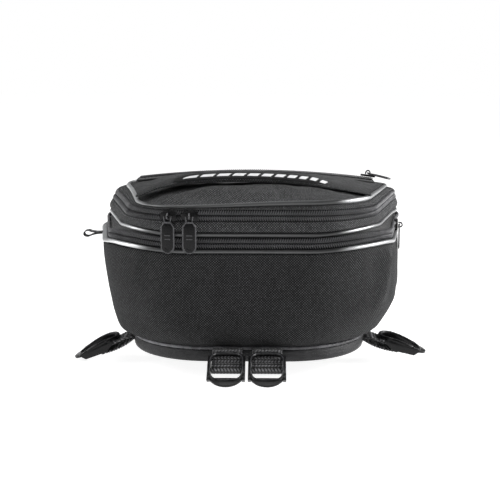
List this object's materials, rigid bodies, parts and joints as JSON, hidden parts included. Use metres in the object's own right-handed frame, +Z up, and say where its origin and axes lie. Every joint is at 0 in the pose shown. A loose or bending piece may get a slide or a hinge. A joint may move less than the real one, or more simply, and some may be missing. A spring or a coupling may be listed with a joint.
{
  "type": "motorcycle tail bag",
  "caption": "Expandable soft tail bag for a motorcycle rack: tapered fabric body, zipped lid with carry handle and pocket, expansion zip, and strap buckles round the base.",
  "frame": {"origin": "centre of the base's underside, on the face that rests on the rack", "axes": "+X to the bag's right seen from the front, +Y to its rear where the lid is hinged, +Z up"},
  "size_m": [0.3246, 0.2616, 0.1742],
  "materials": {
    "fabric": "charcoal polyester twill",
    "lid_fabric": "charcoal polyester, fine plain weave",
    "vinyl": "rubberised fabric, satin",
    "lining": "smooth nylon",
    "foam": "closed-cell foam",
    "stiffener": "semi-rigid board",
    "reflective": "retroreflective silver piping",
    "dark_piping": "dark grey vinyl piping",
    "tape": "woven zip tape",
    "coil": "black nylon coil",
    "webbing": "black woven webbing",
    "plastic": "black acetal, satin",
    "metal": "black painted zinc, glossy",
    "patch": "black woven label"
  },
  "bodies": {
    "lower_bag": {"base_panel": "vinyl", "base_stiffener": "stiffener", "floor_lining": "lining", "base_piping": "dark_piping", "main_shell": "fabric", "wall_foam": "foam", "wall_lining": "lining", "lower_piping": "reflective", "expansion_lower_tape": "tape", "expansion_lower_coil": "coil", "side_loop": "webbing", "front_strap_left": "webbing", "front_strap_right": "webbing", "side_strap_left": "webbing", "side_strap_right": "webbing"},
    "upper_tier": {"expansion_upper_tape": "tape", "expansion_upper_coil": "coil", "middle_piping": "reflective", "upper_band": "fabric", "main_lower_tape": "tape", "main_lower_coil": "coil", "expansion_gusset": "lining", "lid_hinge_strip": "fabric"},
    "lid": {"main_upper_tape": "tape", "main_upper_coil": "coil", "lid_band": "fabric", "lid_piping": "reflective", "lid_panel": "lid_fabric", "lid_foam": "foam", "lid_lining": "lining", "pocket_front_tape": "tape", "pocket_rear_tape": "tape", "pocket_front_coil": "coil", "pocket_rear_coil": "coil"},
    "handle": {"handle_grip": "lid_fabric", "handle_end_left": "lid_fabric", "handle_end_right": "lid_fabric", "handle_patch": "patch"},
    "left_slider": {"main_slider_left": "metal"},
    "left_pull": {"main_pull_left": "metal"},
    "right_slider": {"main_slider_right": "metal"},
    "right_pull": {"main_pull_right": "metal"},
    "expansion_runner": {"expansion_slider": "metal"},
    "expansion_tab": {"expansion_pull": "metal"},
    "pocket_runner": {"pocket_slider": "metal"},
    "pocket_tab": {"pocket_pull": "metal"},
    "front_left_buckle": {"front_buckle_left": "plastic"},
    "front_right_buckle": {"front_buckle_right": "plastic"},
    "side_left_buckle": {"side_buckle_left": "plastic"},
    "side_right_buckle": {"side_buckle_right": "plastic"}
  },
  "joints": [
    {"name": "expansion_rise", "type": "slide", "parent": "lower_bag", "child": "upper_tier", "axis": [0, 0, 1], "range_m": [0, 0.04], "deforming": ["expansion_gusset"]},
    {"name": "lid_open", "type": "hinge", "parent": "upper_tier", "child": "lid", "pos_m": [0, 0.105, 0.1331], "axis": [-1, 0, 0], "range_deg": [0, 110]},
    {"name": "handle_lift", "type": "slide", "parent": "lid", "child": "handle", "axis": [0, 0, 1], "range_m": [0, 0.015], "deforming": ["handle_end_left", "handle_end_right"]},
    {"name": "left_slider_travel", "type": "hinge", "parent": "upper_tier", "child": "left_slider", "pos_m": [-0.0537, -0.045, 0.1284], "axis": [0, 0, -1], "range_deg": [0, 55]},
    {"name": "left_pull_swing", "type": "hinge", "parent": "left_slider", "child": "left_pull", "pos_m": [-0.06616, -0.1091, 0.1284], "axis": [-0.9816, 0.1908, 0], "range_deg": [0, 24]},
    {"name": "right_slider_travel", "type": "slide", "parent": "upper_tier", "child": "right_slider", "axis": [1, 0, 0], "range_m": [0, 0.095]},
    {"name": "right_pull_swing", "type": "hinge", "parent": "right_slider", "child": "right_pull", "pos_m": [-0.048, -0.1103, 0.1284], "axis": [-1, 0, 0], "range_deg": [0, 160]},
    {"name": "expansion_slider_travel", "type": "slide", "parent": "lower_bag", "child": "expansion_runner", "axis": [0.1392, 0.9903, 0], "range_m": [-0.036, 0.024]},
    {"name": "expansion_pull_swing", "type": "hinge", "parent": "expansion_runner", "child": "expansion_tab", "pos_m": [0.1389, 0.00426, 0.1048], "axis": [-0.1392, -0.9903, 0], "range_deg": [0, 150]},
    {"name": "pocket_slider_travel", "type": "hinge", "parent": "lid", "child": "pocket_runner", "pos_m": [0, 0.05, -0.761], "axis": [0, -1, 0], "range_deg": [0, 13.4]},
    {"name": "pocket_pull_swing", "type": "hinge", "parent": "pocket_runner", "child": "pocket_tab", "pos_m": [0.11281, 0.05, 0.14762], "axis": [0, -1, 0], "range_deg": [0, 150]},
    {"name": "front_left_buckle_swing", "type": "hinge", "parent": "lower_bag", "child": "front_left_buckle", "pos_m": [-0.017, -0.12393, 0.00101], "axis": [1, 0, 0], "range_deg": [0, 68]},
    {"name": "front_right_buckle_swing", "type": "hinge", "parent": "lower_bag", "child": "front_right_buckle", "pos_m": [0.017, -0.12393, 0.00101], "axis": [1, 0, 0], "range_deg": [0, 68]},
    {"name": "side_left_buckle_swing", "type": "hinge", "parent": "lower_bag", "child": "side_left_buckle", "pos_m": [-0.13291, -0.025, -0.00578], "axis": [0, -1, 0], "range_deg": [0, 62]},
    {"name": "side_right_buckle_swing", "type": "hinge", "parent": "lower_bag", "child": "side_right_buckle", "pos_m": [0.13406, -0.025, -0.00269], "axis": [0, 1, 0], "range_deg": [0, 68]}
  ],
  "couplings": [
    {"joint": "left_pull_swing", "follows": "left_slider_travel", "ratio": 0.4}
  ]
}
